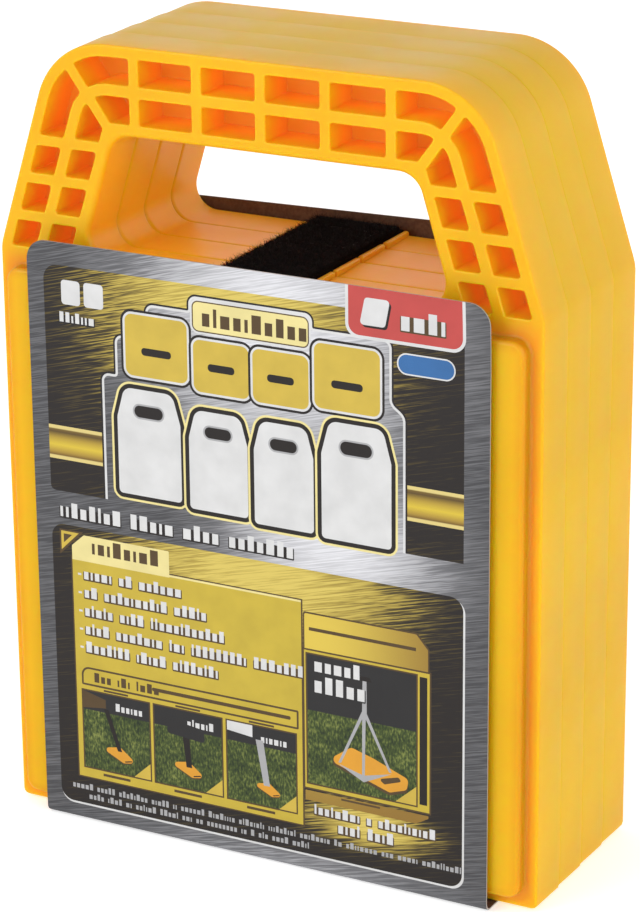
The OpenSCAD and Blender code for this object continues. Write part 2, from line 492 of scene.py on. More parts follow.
def pocket_profile(face, wall_end, edge_r, floor_r, draft, way=1):
    """From a face down a pocket's wall to its floor. way is +1 into the pad from the front."""
    depth = abs(wall_end - face)
    steps = [(edge_r * (1 - s), face + way * edge_r * (1 - c), -s, -way * c, 0) for s, c in quarter(3)]
    for s, c in quarter(3):
        down = depth - floor_r * (1 - s)
        # The fifth value is painted shade and glow, rising from 0 at the face to 1 at the pocket's floor.
        steps.append((-draft - floor_r * (1 - c), face + way * down, -c, -way * s, down / depth))
    return steps


def add_ridge(shell, x):
    """One of the guides that stand on the ledge beside the strap."""
    end_r = 0.4
    half = RIDGE_W / 2
    bar = rectangle(x - half, LEDGE_Z - RIDGE_ROOT, x + half, LEDGE_Z + RIDGE_H, 0.6, 0.2)
    start = (PAD_D - RIDGE_L) / 2
    end = start + RIDGE_L
    # The ridge is painted with the slot's shade and glow.
    steps = [(-end_r * (1 - s), start + end_r * (1 - c), s, -c, SLOT_PAINTED_SHADE) for s, c in quarter(2)]
    steps += [(-end_r * (1 - c), end - end_r * (1 - s), c, s, SLOT_PAINTED_SHADE) for s, c in quarter(2)]
    rings = shell.wall(bar, steps, True, True)
    shell.flat(rings[0], [])


def pad_shell():
    """One pad, from its platform and cells in front to its tray and waffle behind."""
    shell = Shell()
    steps = [(-DRAFT - FRONT_R * (1 - s), FRONT_R * (1 - c), s, -max(c, CROWN)) for s, c in quarter()]
    steps += [(-DRAFT * (1 - t), t * PAD_D, 1, lean) for t, lean in ((0.55, 0), (0.85, CROWN / 3))]
    # The back edge is painted with shade and glow, for the seam's shadow.
    steps += [(-BACK_R * (1 - c), PAD_D - BACK_R * (1 - s), c, s, SEAM_PAINTED_SHADE * (0.4 + 0.6 * s))
              for s, c in quarter()]
    steps.append((-BACK_R - 0.6, PAD_D, 0, 1, 0))
    side_rings = shell.wall(pad_outline(), steps, True)

    # The slot's walls are painted with shade and glow.
    steps = [(SLOT_DRAFT + SLOT_FRONT_R * (1 - s), SLOT_FRONT_R * (1 - c), -s, -c, SLOT_PAINTED_SHADE * (1 - c))
             for s, c in quarter()]
    steps += [(-SLOT_DRAFT + SLOT_BACK_R * (1 - c), PAD_D - SLOT_BACK_R * (1 - s), -c, s, SLOT_PAINTED_SHADE)
              for s, c in quarter()]
    steps.append((-SLOT_DRAFT + SLOT_BACK_R + 1, PAD_D, 0, 1, 0))
    slot_rings = shell.wall(slot_outline(), steps, False)

    for side in (-1, 1):
        add_ridge(shell, side * RIDGE_X)

    # The cells carry painted shade and glow, deeper down each cell.
    profile = pocket_profile(0, CELL_D, CELL_EDGE_R, CELL_FLOOR_R, CELL_DRAFT)
    front_holes = [slot_rings[0]]
    front_holes += [shell.wall(cell, profile, False, True)[0] for cell in handle_cells()]

    half_w = PAD_W / 2 - PLATFORM_INSET
    platform = rectangle(-half_w, PLATFORM_INSET, half_w, PLATFORM_TOP, PLATFORM_R)
    # The platform's foot and edge carry painted shade, fading out on its face.
    steps = [(PLATFORM_FOOT_R * (1 - s), -PLATFORM_FOOT_R * (1 - c), s, -c, FOOT_PAINTED_SHADE * c, 0.7 + 0.3 * s)
             for s, c in quarter()]
    steps += [(-PLATFORM_EDGE_R * (1 - c), -PLATFORM_H + PLATFORM_EDGE_R * (1 - s), c, -s, 0, 1 - 0.6 * s)
              for s, c in quarter()]
    steps.append((-PLATFORM_EDGE_R - PAINTED_SHADE_RUN, -PLATFORM_H, 0, -1))
    front_holes.append(shell.wall(platform, steps, False, True)[0])
    shell.flat(side_rings[0], front_holes)

    tray = rectangle(-half_w - NEST_GAP, PLATFORM_INSET - NEST_GAP, half_w + NEST_GAP,
                     PLATFORM_TOP + NEST_GAP, TRAY_R)
    floor_y = PAD_D - TRAY_D
    tray_rings = shell.wall(tray, pocket_profile(PAD_D, floor_y, 0.5, 0.6, 0.1, -1), True)
    profile = pocket_profile(floor_y, PLATE_T - PLATFORM_H, WAFFLE_EDGE_R, 0.8, 0.25, -1)
    holes = [shell.wall(cell, profile, True, True)[0] for cell in waffle_cells()]
    shell.flat(tray_rings[-1], holes, True)
    shell.flat(side_rings[-1], [slot_rings[-1], tray_rings[0]], True)
    return shell


def make_pads(material):
    mesh = pad_shell().mesh("pad_shape", material)
    for name in ("pad_1", "pad_2", "pad_3", "pad_4"):
        low, _ = box(name)
        pad = show("moulded_" + name, mesh)
        pad.location = Vector((0, low.y + PLATFORM_H, low.z)) * MM
        stand_in(pad, "pad_resin", name, body=frame["nodes"][name]["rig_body"])


# ---------------------------------------------------------------- strap
def ribbon_path(corners):
    """Points of an open (y, z) path with rounded bends, closer together above the ledge."""
    corners = [np.array(c, float) for c in corners]
    bent = [corners[0]]
    for before, at, after in zip(corners, corners[1:], corners[2:]):
        straight = unit(at - before) @ unit(after - at) > 0.999
        bent += [at] if straight else corner_arc(before, at, after, 1.3, 0.4)
    bent.append(corners[-1])
    path = [bent[0]]
    for a, b in zip(bent, bent[1:]):
        gap = 0.8 if a[1] > LEDGE_Z and b[1] > LEDGE_Z else 2.5
        count = max(1, math.ceil(np.linalg.norm(b - a) / gap))
        path += [a + (b - a) * k / count for k in range(1, count + 1)]
    return np.array(path)


def path_normals(path, side):
    along = unit_rows(np.gradient(path, axis=0))
    return np.stack([along[:, 1], -along[:, 0]], 1) * side


def ribbon_mesh(path, side, offsets, noise):
    """A strap along a path. offsets gives its outer and inner face at a path point.

    The outer face is a soft pile, so its points are moved a little at random.
    """
    count = round(STRAP_W / 0.8)
    across = [(STRAP_W * k / count - STRAP_W / 2, 0.27 if k in (0, count) else 0)
              for k in range(count + 1)]
    points = []
    for i, (p, n) in enumerate(zip(path, path_normals(path, side))):
        outer, inner = offsets(p)
        section = [(x, outer - drop) for x, drop in across]
        section += [(x, inner + drop) for x, drop in across[::-1]]
        for k, (x, out) in enumerate(section):
            if k <= count and 0 < i < len(path) - 1:
                out += noise.uniform(-0.16, 0.1)
                if k in (0, count):
                    x += noise.uniform(-0.3, 0.1) * (1 if x > 0 else -1)
            q = p + n * out
            points.append((x, q[0], q[1]))
    return points, tube_faces(0, len(path), 2 * (count + 1), side > 0)


def pile_fibres(roots, outward, lengths, width, noise):
    """Fine bent fibres, each a closed three-sided spike, standing on given points."""
    count = len(roots)
    way = unit_rows(outward + 0.75 * unit_rows(noise.normal(0, 1, (count, 3))))
    sag = noise.normal(0, 1, (count, 3)) * 0.25
    side = unit_rows(np.cross(way, noise.normal(0, 1, (count, 3))))
    third = np.cross(way, side)
    lengths = lengths[:, None]
    middle = roots + way * lengths * 0.55
    points = np.zeros((count, 7, 3))
    for k in range(3):
        angle = 2 * math.pi * k / 3
        spread = (side * math.cos(angle) + third * math.sin(angle)) * width
        points[:, k] = roots + spread
        points[:, 3 + k] = middle + spread * 0.75
    points[:, 6] = roots + (way + sag) * lengths
    spike = [(0, 2, 1)]
    for k in range(3):
        j = (k + 1) % 3
        spike += [(k, j, 3 + j, 3 + k), (3 + k, 3 + j, 6)]
    faces = [tuple(7 * i + v for v in face) for i in range(count) for face in spike]
    return points.reshape(-1, 3), faces


def strap_fibres(path, side, offsets, noise, covered_to):
    """Pile fibres over the outer face and along both edges of a strap."""
    normals = path_normals(path, side)
    steps = np.linalg.norm(np.diff(path, axis=0), axis=1)
    reach = np.concatenate([[0], np.cumsum(steps)])
    half = STRAP_W / 2

    def places(count):
        at = noise.uniform(0, reach[-1], count)
        i = np.minimum(np.searchsorted(reach, at) - 1, len(path) - 2).clip(0)
        t = ((at - reach[i]) / steps[i])[:, None]
        return path[i] + (path[i + 1] - path[i]) * t, unit_rows(normals[i])

    on, normal = places(round(reach[-1] * STRAP_W * FIBRES))
    lift = np.array([offsets(p)[0] for p in on])[:, None] - 0.2
    roots = np.column_stack([noise.uniform(-half + 0.2, half - 0.2, len(on)), on + normal * lift])
    outward = np.column_stack([np.zeros(len(on)), normal])
    on, normal = places(round(2 * reach[-1] * EDGE_FIBRES))
    sign = noise.choice([-1.0, 1.0], len(on))
    yz = on + normal * noise.uniform(-0.3, 0.5, len(on))[:, None]
    roots = np.vstack([roots, np.column_stack([sign * (half - 0.25), yz])])
    outward = np.vstack([outward, np.column_stack([sign, normal * 0.5])])
    lengths = noise.uniform(0.7, 1.5, len(roots)) * noise.choice([1.0, 1.0, 1.4], len(roots))
    if covered_to:
        lengths *= np.where(roots[:, 1] < covered_to, 0.3, 1)
    return pile_fibres(roots, outward, lengths, 0.05, noise)


def make_strap_run(name, corners, side, offsets, material, seed, covered_to=None):
    """One length of strap. Its pile is short as far as covered_to, where another layer lies on it."""
    noise = np.random.default_rng(seed)
    path = ribbon_path(corners)
    points, faces = ribbon_mesh(path, side, offsets, noise)
    on_top = path[(path[:, 1] > LEDGE_Z) & (np.abs(path[:, 0]) < PILE_HALF_RUN)]
    fibre_points, fibre_faces = strap_fibres(on_top, side, offsets, noise, covered_to)
    first = len(points)
    points = np.vstack([points, fibre_points])
    faces = faces + [tuple(first + i for i in face) for face in fibre_faces]
    return show(name, new_mesh(name, points, faces, [material]))


def make_strap():
    pile = pile_material()
    front_low, front_high = box("strap_front")
    rear_low, rear_high = box("strap_rear")
    tab_end = box("strap_tab")[1].y
    half_t = STRAP_T / 2
    outer_z = front_high.z - half_t
    inner_z = rear_high.z - half_t
    under_z = front_low.z + half_t
    front_y = front_low.y + half_t
    back_y = rear_high.y - half_t
    seam_y = front_high.y
    hook_end = box("strap_hook_patch")[1].y

    def front_offsets(p):
        if p[1] > LEDGE_Z and seam_y + 0.1 < p[0] < hook_end + 0.1:
            return half_t, HOOK_T - half_t + 0.05
        if p[1] < LEDGE_Z / 2 and p[0] > seam_y - LAP - 1:
            return half_t, 0.06
        return half_t, -half_t

    def rear_offsets(p):
        if p[1] < LEDGE_Z / 2 and p[0] < seam_y + 0.6:
            return -0.06, -half_t
        return half_t, -half_t

    front = [(tab_end, outer_z), (hook_end + 0.15, outer_z), (hook_end + 0.05, outer_z),
             (seam_y + 0.15, outer_z), (seam_y + 0.05, outer_z),
             (-28.3, outer_z), (front_y, outer_z - 5.3), (front_y, under_z),
             (seam_y - LAP - 1.05, under_z), (seam_y - LAP - 0.95, under_z), (seam_y, under_z)]
    rear = [(rear_low.y, inner_z), (back_y, inner_z), (back_y, under_z),
            (seam_y + 0.65, under_z), (seam_y + 0.55, under_z), (seam_y - LAP + 2, under_z)]
    piece = make_strap_run("storage_strap_front", front, 1, front_offsets, pile, 11)
    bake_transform(piece)
    stand_in(piece, "strap_pile", "strap_front", "strap_tab")
    piece = make_strap_run("storage_strap_rear", rear, -1, rear_offsets, pile, 12, tab_end)
    stand_in(piece, "strap_pile", "strap_rear", body="pad_rear")
    make_hooks()
    make_stitches()


def make_hooks():
    """The hook patch under the tab: a woven base with rows of small bent hooks."""
    low, high = box("strap_hook_patch")
    pitch = 1.3
    hook_r = 0.088
    root_z = high.z - 0.22
    bend = [(0, 0), (0, -0.114), (0.06, -0.209), (0.2, -0.247), (0.32, -0.19)]
    corners = ((low.x, low.y), (high.x, low.y), (high.x, high.y), (low.x, high.y))
    points = [(*corner, z) for z in (root_z, high.z) for corner in corners]
    faces = tube_faces(0, 2, 4, False)
    across = int((high.x - low.x) / pitch)
    along = int((high.y - low.y) / pitch)
    for i in range(across):
        turn = 1 if i % 2 else -1
        for k in range(along):
            x = low.x + (i + 0.5) * (high.x - low.x) / across
            y = low.y + (k + 0.3) * (high.y - low.y) / along
            faces += tube_faces(len(points), len(bend), 3, True)
            for step, (out, down) in enumerate(bend):
                r = hook_r * (1 - 0.12 * step)
                for angle in (0, 2 * math.pi / 3, 4 * math.pi / 3):
                    points.append((x + r * math.cos(angle), y + turn * out + r * math.sin(angle),
                                   root_z + down))
    piece = show("hook_patch", new_mesh("hook_patch", points, faces, [hook_material()], 40))
    stand_in(piece, "hook_tape", "strap_hook_patch", body="tab")


def make_stitches():
    """Lock stitches round the hook patch, each a short rounded hump of thread."""
    low, high = box("strap_stitching")
    points = []
    faces = []
    radius = 0.2
    length = 1.9
    pitch = 2.6
    sides = 6
    bends = 6
    z = high.z - radius - 0.1

    def stitch(x, y, along_y):
        faces.extend(tube_faces(len(points), bends + 1, sides, along_y))
        for i in range(bends + 1):
            t = i / bends
            at = (t - 0.5) * length
            drop = 0.22 * (2 * t - 1) ** 2
            r = radius * (0.55 + 0.45 * math.sin(math.pi * t))
            for k in range(sides):
                angle = 2 * math.pi * k / sides
                u, w = r * math.cos(angle), r * math.sin(angle)
                points.append((x + u, y + at, z - drop + w) if along_y else (x + at, y + u, z - drop + w))

    rows = round((high.y - low.y) / pitch)
    columns = round((high.x - low.x) / pitch)
    for side_x in (low.x + radius, high.x - radius):
        for k in range(rows):
            stitch(side_x, low.y + (k + 0.5) * (high.y - low.y) / rows, True)
    for end_y in (low.y + radius, high.y - radius):
        for k in range(columns):
            stitch(low.x + (k + 0.5) * (high.x - low.x) / columns, end_y, False)
    piece = show("tab_stitching", new_mesh("tab_stitching", points, faces, [thread_material()]))
    stand_in(piece, "thread", "strap_stitching", body="tab")


# ---------------------------------------------------------------- wrap card
class Print:
    """Flat shapes in different inks laid on each other; the one laid last shows."""

    def __init__(self, outline, ink):
        self.layers = [(np.array(outline, float), ink)]

    def shape(self, corners, ink, radius=0):
        self.layers.append((rounded(corners, radius, 0.5), ink))

    def bar(self, x0, z0, x1, z1, ink, radius=0):
        self.layers.append((rectangle(x0, z0, x1, z1, radius, 0.5), ink))

    def frames(self, loop, inks):
        """One loop in several inks, each (how far out, ink), the widest first."""
        normals = loop_normals(loop)
        for out, ink in inks:
            self.layers.append((loop + normals * out, ink))

    def blocks(self, x, z, size, words, ink, shade=None, seed=1):
        """A row of plain blocks that stands in for a line of lettering."""
        noise = random.Random(seed)
        wide, gap, space = 0.44 * size, 0.22 * size, 0.55 * size
        at = x
        places = []
        for count in words:
            start = at
            for _ in range(count):
                w = wide * noise.choice((0.45, 1.0, 1.0, 1.25))
                places.append((at, at + w, noise.choice((0.7, 0.7, 1.0)) * size))
                at += w + gap
            if shade:
                self.bar(start - 0.3, z - 0.45, at - gap + 0.35, z + 0.7 * size, shade, 0.3)
            at += space
        for x0, x1, high in places:
            self.bar(x0, z, x1, z + high, ink)

    def triangles(self, extra_lines):
        """Points, triangles and each triangle's ink, cut along every shape's edge."""
        points, triangles, _ = triangulate([loop for loop, _ in self.layers] + extra_lines, 1e-5)
        centres = points[triangles].mean(1)
        inks = np.zeros(len(triangles), int)
        for loop, ink in self.layers:
            inks[inside(centres, loop)] = INKS.index(ink)
        keep = inside(centres, self.layers[0][0])
        return points, triangles[keep], inks[keep]


def fold_place(s, face_y, lift):
    """Where a point s above the fold lies, as (y, z), lift outside the card's face."""
    angle = np.clip((CARD_FOLD_R - s) / CARD_FOLD_R, 0, math.pi / 2)
    flap = np.maximum(CARD_FOLD_R - s - CARD_FOLD_R * math.pi / 2, 0)
    r = CARD_FOLD_R + lift
    y = face_y + CARD_FOLD_R - r * np.cos(angle) + flap
    z = CARD_FOLD_R - r * np.sin(angle) + np.maximum(s - CARD_FOLD_R, 0)
    return y, z


def card_mesh(name, sheet, face_y, side, steps, lift, thick, materials):
    """A folded card: printed outside, plain board inside. side is -1 in front, +1 behind.

    lift and thick say how far a point stands out and how thick the board is there.
    """
    half_w = sheet.layers[0][0][:, 0].max()
    high = sheet.layers[0][0][:, 1].max()
    levels = [CARD_FOLD_R * (1 - math.pi / 2 * k / 8) for k in range(9)] + list(steps)
    levels += [high - k for k in (6, 12, 19, 27)]
    lines = [[(-half_w, s), (half_w, s)] for s in levels]
    lines += [[(x, high - 27), (x, high)] for x in (half_w - 19, half_w - 12, half_w - 6)]
    points, triangles, ink = sheet.triangles(lines)
    used = np.unique(triangles)
    number = np.full(len(points), -1)
    number[used] = np.arange(len(used))
    points = points[used]
    triangles = number[triangles]
    count = len(points)
    both = []
    for out in (lift(points), lift(points) - thick(points)):
        y, z = fold_place(points[:, 1], face_y, out)
        both.append(np.column_stack([-side * points[:, 0], -side * y, z]))
    pairs = np.concatenate([triangles[:, [0, 1]], triangles[:, [1, 2]], triangles[:, [2, 0]]])
    known = {tuple(pair) for pair in pairs.tolist()}
    rim = [(a, b) for a, b in pairs.tolist() if (b, a) not in known]
    faces = triangles.tolist()
    faces += (triangles[:, ::-1] + count).tolist()
    faces += [(b, a, a + count, b + count) for a, b in rim]
    mesh = new_mesh(name, np.vstack(both), faces, materials, 40)
    unprinted = [INKS.index("board")] * len(triangles) + [INKS.index("edge")] * len(rim)
    mesh.polygons.foreach_set("material_index", ink.tolist() + unprinted)
    corners = np.zeros(len(mesh.loops), int)
    mesh.loops.foreach_get("vertex_index", corners)
    flat_place = np.vstack([points, points])[corners]
    mesh.uv_layers.new(name="print").data.foreach_set("uv", flat_place.ravel())
    return show(name, mesh)


INKS = ("steel", "streak", "glow", "dark", "night", "grass", "yellow", "pale", "gold", "beam", "orange",
        "white", "grey", "red", "blue", "brown", "edge", "board")


def pad_sign(x, z, w, h):
    """A plain outline of a pad, as (outer loop, slot loop)."""
    half = w / 2
    corners = [(x - half, z), (x + half, z), (x + half, z + 0.72 * h), (x + 0.76 * half, z + h),
               (x - 0.76 * half, z + h), (x - half, z + 0.72 * h)]
    outer = rounded(corners, [1.2, 1.2, 2.5, 3, 3, 2.5], 0.5)
    slot = rectangle(x - 0.45 * half, z + 0.74 * h, x + 0.45 * half, z + 0.85 * h, 0.06 * h, 0.4)
    return outer, slot


def flat_pad(sheet, x, z, size):
    """A pad lying on the ground, seen at a slant, with its slot."""
    across = np.array([0.62, -0.36]) * size
    along = np.array([-0.58, -0.14]) * size
    middle = np.array([x, z])
    corners = [middle - across + along, middle + across + along * 0.7, middle + across * 1.1 - along * 0.6,
               middle - across * 0.9 - along]
    sheet.shape([c + np.array([0, -0.07 * size]) for c in corners], "brown", 0.16 * size)
    sheet.shape(corners, "orange", 0.16 * size)
    slot = middle + across * 0.78
    sheet.shape([slot + along * 0.4, slot + across * 0.14 + along * 0.4, slot + across * 0.14 - along * 0.4,
                 slot - along * 0.4], "dark", 0.05 * size)


def picture(sheet, x0, z0, x1, z1, ground):
    sheet.bar(x0 - 0.45, z0 - 0.45, x1 + 0.45, z1 + 0.45, "brown")
    sheet.bar(x0, z0, x1, z1, "night")
    sheet.bar(x0, z0, x1, ground, "grass")


def leg(sheet, top, foot, w_top, w_foot, ink):
    sheet.shape([(top[0] - w_top / 2, top[1]), (foot[0] - w_foot / 2, foot[1]),
                 (foot[0] + w_foot / 2, foot[1]), (top[0] + w_top / 2, top[1])], ink)


def title_plate(sheet):
    """The stepped plate of the upper panel with two rows of plain signs."""
    corners = [(-47, 96), (45.5, 96), (45.5, 139), (41.5, 142), (41.5, 159.3), (18, 159.3), (18, 163.3),
               (-19, 163.3), (-19, 159), (-32.5, 159), (-32.5, 149), (-42.5, 149), (-42.5, 137.5),
               (-47, 137.5)]
    radii = [0, 0, 3, 3, 2, 0.8, 2, 2, 0.8, 2, 0.8, 2, 0.8, 2]
    plate = rounded(corners, radii, 0.5)
    sheet.frames(plate, [(0.9, "dark"), (0.35, "white"), (-0.35, "steel")])
    sheet.bar(-65.2, 92, 63, 100.8, "steel")
    label = rectangle(-18, 154.2, 17, 162.2, 1.6, 0.4)
    sheet.frames(label, [(0.9, "white"), (0.35, "brown"), (0, "pale")])
    sheet.blocks(-15.2, 155.6, 5.2, (10,), "brown", seed=4)
    for x, low, high, w in ((-29.8, 138.4, 156, 19.5), (-9.6, 136.8, 151.6, 17.2), (8.6, 136.6, 151.6, 17),
                            (28.6, 137.8, 156, 19.6)):
        block = rectangle(x - w / 2, low, x + w / 2, high, 2.2, 0.5)
        sheet.frames(block, [(1.35, "dark"), (0.65, "white"), (0, "gold")])
        sheet.bar(x - 0.24 * w, low + 6.2, x + 0.24 * w, low + 8.4, "dark", 1.0)
    for x, low, high, w in ((-32.7, 103.6, 134.6, 20), (-11, 102.6, 131.4, 18.2), (9.2, 101.6, 131.4, 18.2),
                            (31.2, 101, 134.6, 21)):
        outer, slot = pad_sign(x, low, w, high - low)
        sheet.frames(outer, [(1.9, "pale"), (1.25, "dark"), (0, "white")])
        sheet.frames(slot, [(0.5, "grey"), (0, "dark")])


def upper_panel(sheet):
    sheet.bar(-65.2, 100.8, 63, 166.8, "streak", [1.5, 0, 0, 4.5])
    for x0, x1 in ((-65.2, -46), (45, 63)):
        sheet.bar(x0, BEAM_Z[0], x1, BEAM_Z[1], "beam")
    title_plate(sheet)
    sheet.bar(-59.6, 155.8, -53.6, 162.8, "white", 1)
    sheet.bar(-52.4, 155.8, -46.2, 162.8, "white", 1)
    sheet.blocks(-60.4, 150.7, 2.9, (7,), "white", "dark", 5)
    banner = rectangle(28.2, 158.9, 63.4, 174.5, [4, 4, 0, 0], 0.5)
    sheet.frames(banner, [(0, "white"), (-0.9, "red")])
    sheet.shape([(33, 162.2), (40.5, 162.2), (42, 169.8), (34.6, 169.8)], "dark", 1)
    sheet.shape([(32.4, 162.8), (39.9, 162.8), (41.4, 170.4), (34, 170.4)], "white", 1)
    sheet.blocks(44.6, 162.8, 5.6, (4,), "white", "brown", 8)
    sheet.bar(43.4, 150.8, 60.4, 156.8, "white", 2.9)
    sheet.bar(43.8, 151.2, 60, 156.4, "blue", 2.5)


def features_box(sheet):
    """The yellow box of the lower panel: rows of plain blocks over three small pictures."""
    sheet.bar(-59.4, 13.8, 14.5, 82, "brown")
    sheet.bar(-59, 14.2, 14, 81.6, "yellow")
    sheet.bar(-27.6, 81, 14, 81.6, "pale")
    tab = [(-59, 80.8), (-27.4, 80.8), (-27.4, 88.6), (-55, 88.6), (-59, 85)]
    sheet.shape(tab, "pale", [0, 0, 0.3, 0.5, 0.5])
    sheet.blocks(-52.4, 83.4, 4.6, (8,), "brown", seed=6)
    for row, words in enumerate(((5, 2, 6), (2, 10, 5), (5, 4, 12), (4, 7, 3, 9, 8), (7, 5, 8))):
        z = 75.4 - 5.55 * row
        sheet.bar(-57.3, z + 1, -56.2, z + 1.6, "white")
        sheet.blocks(-55.3, z, 3.3, words, "white", "brown", 20 + row)
    outline = rectangle(-57.2, 42.9, 12.9, 48.6, [0.4, 0.4, 0.4, 2.6], 0.5)
    sheet.frames(outline, [(0, "brown"), (-0.6, "yellow")])
    sheet.blocks(-53, 44.3, 2.9, (3, 3, 4), "brown", seed=9)
    sheet.bar(-34, 45.3, 10.4, 46.4, "brown", 0.4)
    for x in (-57, -33.5, -9.9):
        picture(sheet, x, 17.4, x + 21.8, 41.2, 35.4)
        sheet.bar(x + 7, 41.9, x + 15, 42.5, "brown")
        sheet.bar(x + 6, 15.4, x + 15, 16.2, "brown")
        sheet.shape([(x + 16.4, 17.4), (x + 21.8, 17.4), (x + 21.8, 22.4)], "gold")
        sheet.blocks(x + 10.8, 36.6, 2.4, (6,), "white", seed=30 + round(x))
    flat_pad(sheet, -45.2, 23.2, 5.2)
    leg(sheet, (-49.4, 36.5), (-45.2, 24.2), 1.6, 1.4, "dark")
    sheet.shape([(-57, 35.8), (-49.5, 36.8), (-49.5, 39.4), (-57, 41.2)], "brown")
    flat_pad(sheet, -22.6, 23.4, 5.2)
    leg(sheet, (-23.6, 37), (-22.4, 24), 2.4, 1.8, "dark")
    sheet.shape([(-29.5, 33.5), (-17, 32.5), (-17.5, 36.5), (-28.8, 38)], "night", 1)
    flat_pad(sheet, 3.2, 22.6, 4.4)
    leg(sheet, (0.4, 37.2), (2.6, 23.6), 2.4, 2, "grey")
    sheet.shape([(-9.9, 38.4), (-1.8, 37.6), (-1.8, 41.2), (-9.9, 41.2)], "white")


def main_picture(sheet):
    """The tall picture at the lower right: a tripod stand on a pad, in a gold frame."""
    sheet.shape([(14.6, 67), (53, 67), (53, 74.4), (49.4, 78.6), (14.6, 78.6)], "brown", 0.6)
    sheet.shape([(15, 67), (52.6, 67), (52.6, 74.1), (49.1, 78.1), (15, 78.1)], "glow", 0.5)
    sheet.bar(16.4, 73.2, 49, 74.2, "brown")
    sheet.bar(14.3, 25.6, 53.6, 67.8, "brown")
    sheet.bar(14.8, 26.1, 53.1, 67.3, "yellow")
    sheet.bar(50.1, 28.2, 52.4, 66, "dark")
    picture(sheet, 15.7, 27.6, 49.1, 66.2, 49.6)
    sheet.shape([(42.8, 27.6), (49.1, 27.6), (49.1, 33.2)], "gold")
    sheet.shape([(21.8, 35), (29, 40.2), (36, 38.4), (46.8, 34.2), (46.4, 30.8), (41, 28.9)], "brown", 1.4)
    sheet.shape([(22, 35.8), (29.2, 40.9), (36, 39), (46.8, 34.9), (46.2, 31.6), (41, 29.8)], "orange", 1.4)
    sheet.shape([(37.6, 33.2), (43.6, 34.9), (44.8, 33.8), (39.4, 31.9)], "brown", 0.5)
    for foot_x, foot_z in ((25.6, 35.6), (32.9, 31.6), (41.2, 35.8)):
        leg(sheet, (33.2, 52.5), (foot_x, foot_z), 1.1, 0.8, "grey")
    sheet.shape([(25.2, 35.2), (33, 31.2), (41.6, 35.4), (33, 33.2)], "grey")
    leg(sheet, (33.4, 62), (33.3, 50), 1.2, 1.5, "grey")
    sheet.shape([(31.4, 61.4), (35.6, 61.4), (35, 62.7), (32, 62.7)], "dark")
    sheet.blocks(18, 61.4, 4.2, (5,), "white", "night", 12)
    sheet.blocks(18, 55.2, 5, (5,), "white", "night", 13)
    sheet.shape([(14.8, 22.2), (49, 22.2), (52.8, 24.4), (52.8, 25.2), (14.8, 25.2)], "glow", 0.2)
    sheet.bar(26, 24.2, 38, 24.8, "brown")
    sheet.blocks(17.6, 18.4, 3, (8, 1, 10), "white", "brown", 14)
    sheet.blocks(25, 14, 3.4, (4, 4), "white", "brown", 15)


def front_print(low, high, half_w):
    sheet = Print(rectangle(-half_w, low, half_w, high, [0, 0, CARD_R, CARD_R], 0.5), "steel")
    upper_panel(sheet)
    sheet.blocks(-62.4, 93.2, 4.4, (8, 5, 4, 7), "white", "dark", 2)
    sheet.shape([(-65.2, 5), (63.6, 5), (63.6, 90.4), (-64.4, 90.4)], "white", 4)
    sheet.bar(-65.4, 5.6, 63, 90.9, "streak", 4)
    sheet.shape([(-62.9, 81.8), (-55.2, 89.4), (-62.9, 89.4)], "brown")
    sheet.shape([(-62.4, 83.2), (-56.6, 88.9), (-62.4, 88.9)], "gold")
    sheet.shape([(-61.6, 85.4), (-58.8, 88.1), (-61.6, 88.1)], "brown")
    features_box(sheet)
    main_picture(sheet)
    sheet.blocks(-61.4, 10, 1.9, (5, 5, 8, 5, 2, 6, 8, 8, 9, 8, 2, 8, 3, 5, 10), "grey", seed=16)
    sheet.blocks(-56, 7.2, 1.9, (4, 4, 2, 6, 5, 3, 2, 8, 2, 1, 3, 4, 5), "grey", seed=17)
    return sheet


def back_print(low, high, half_w):
    """The back panel: a plain notice of the same kind. Its top edge is a little askew."""
    sheet = Print(rounded([(-half_w, low), (half_w, low), (half_w, high - 0.9), (-half_w, high + 2.3)],
                          [0, 0, CARD_R, CARD_R], 0.5), "steel")
    sheet.bar(-65.4, 5.6, 65.4, 165, "streak", 4)
    band = rectangle(-58, 134, 58, 156, 3, 0.5)
    sheet.frames(band, [(0.9, "brown"), (0.4, "white"), (0, "pale")])
    sheet.blocks(-50, 140, 10, (5, 6), "brown", seed=40)
    picture(sheet, -58, 66, 58, 126, 96)
    for k in range(4):
        outer, slot = pad_sign(-39 + 26 * k, 74, 22, 40)
        sheet.frames(outer, [(0.8, "brown"), (0, "orange")])
        sheet.frames(slot, [(0, "dark")])
    sheet.bar(-58, 14, 58, 58, "yellow")
    for row in range(6):
        sheet.blocks(-54, 50 - 6.4 * row, 3.3, (6, 4, 8, 3, 7, 5, 6), "brown", seed=41 + row)
    return sheet


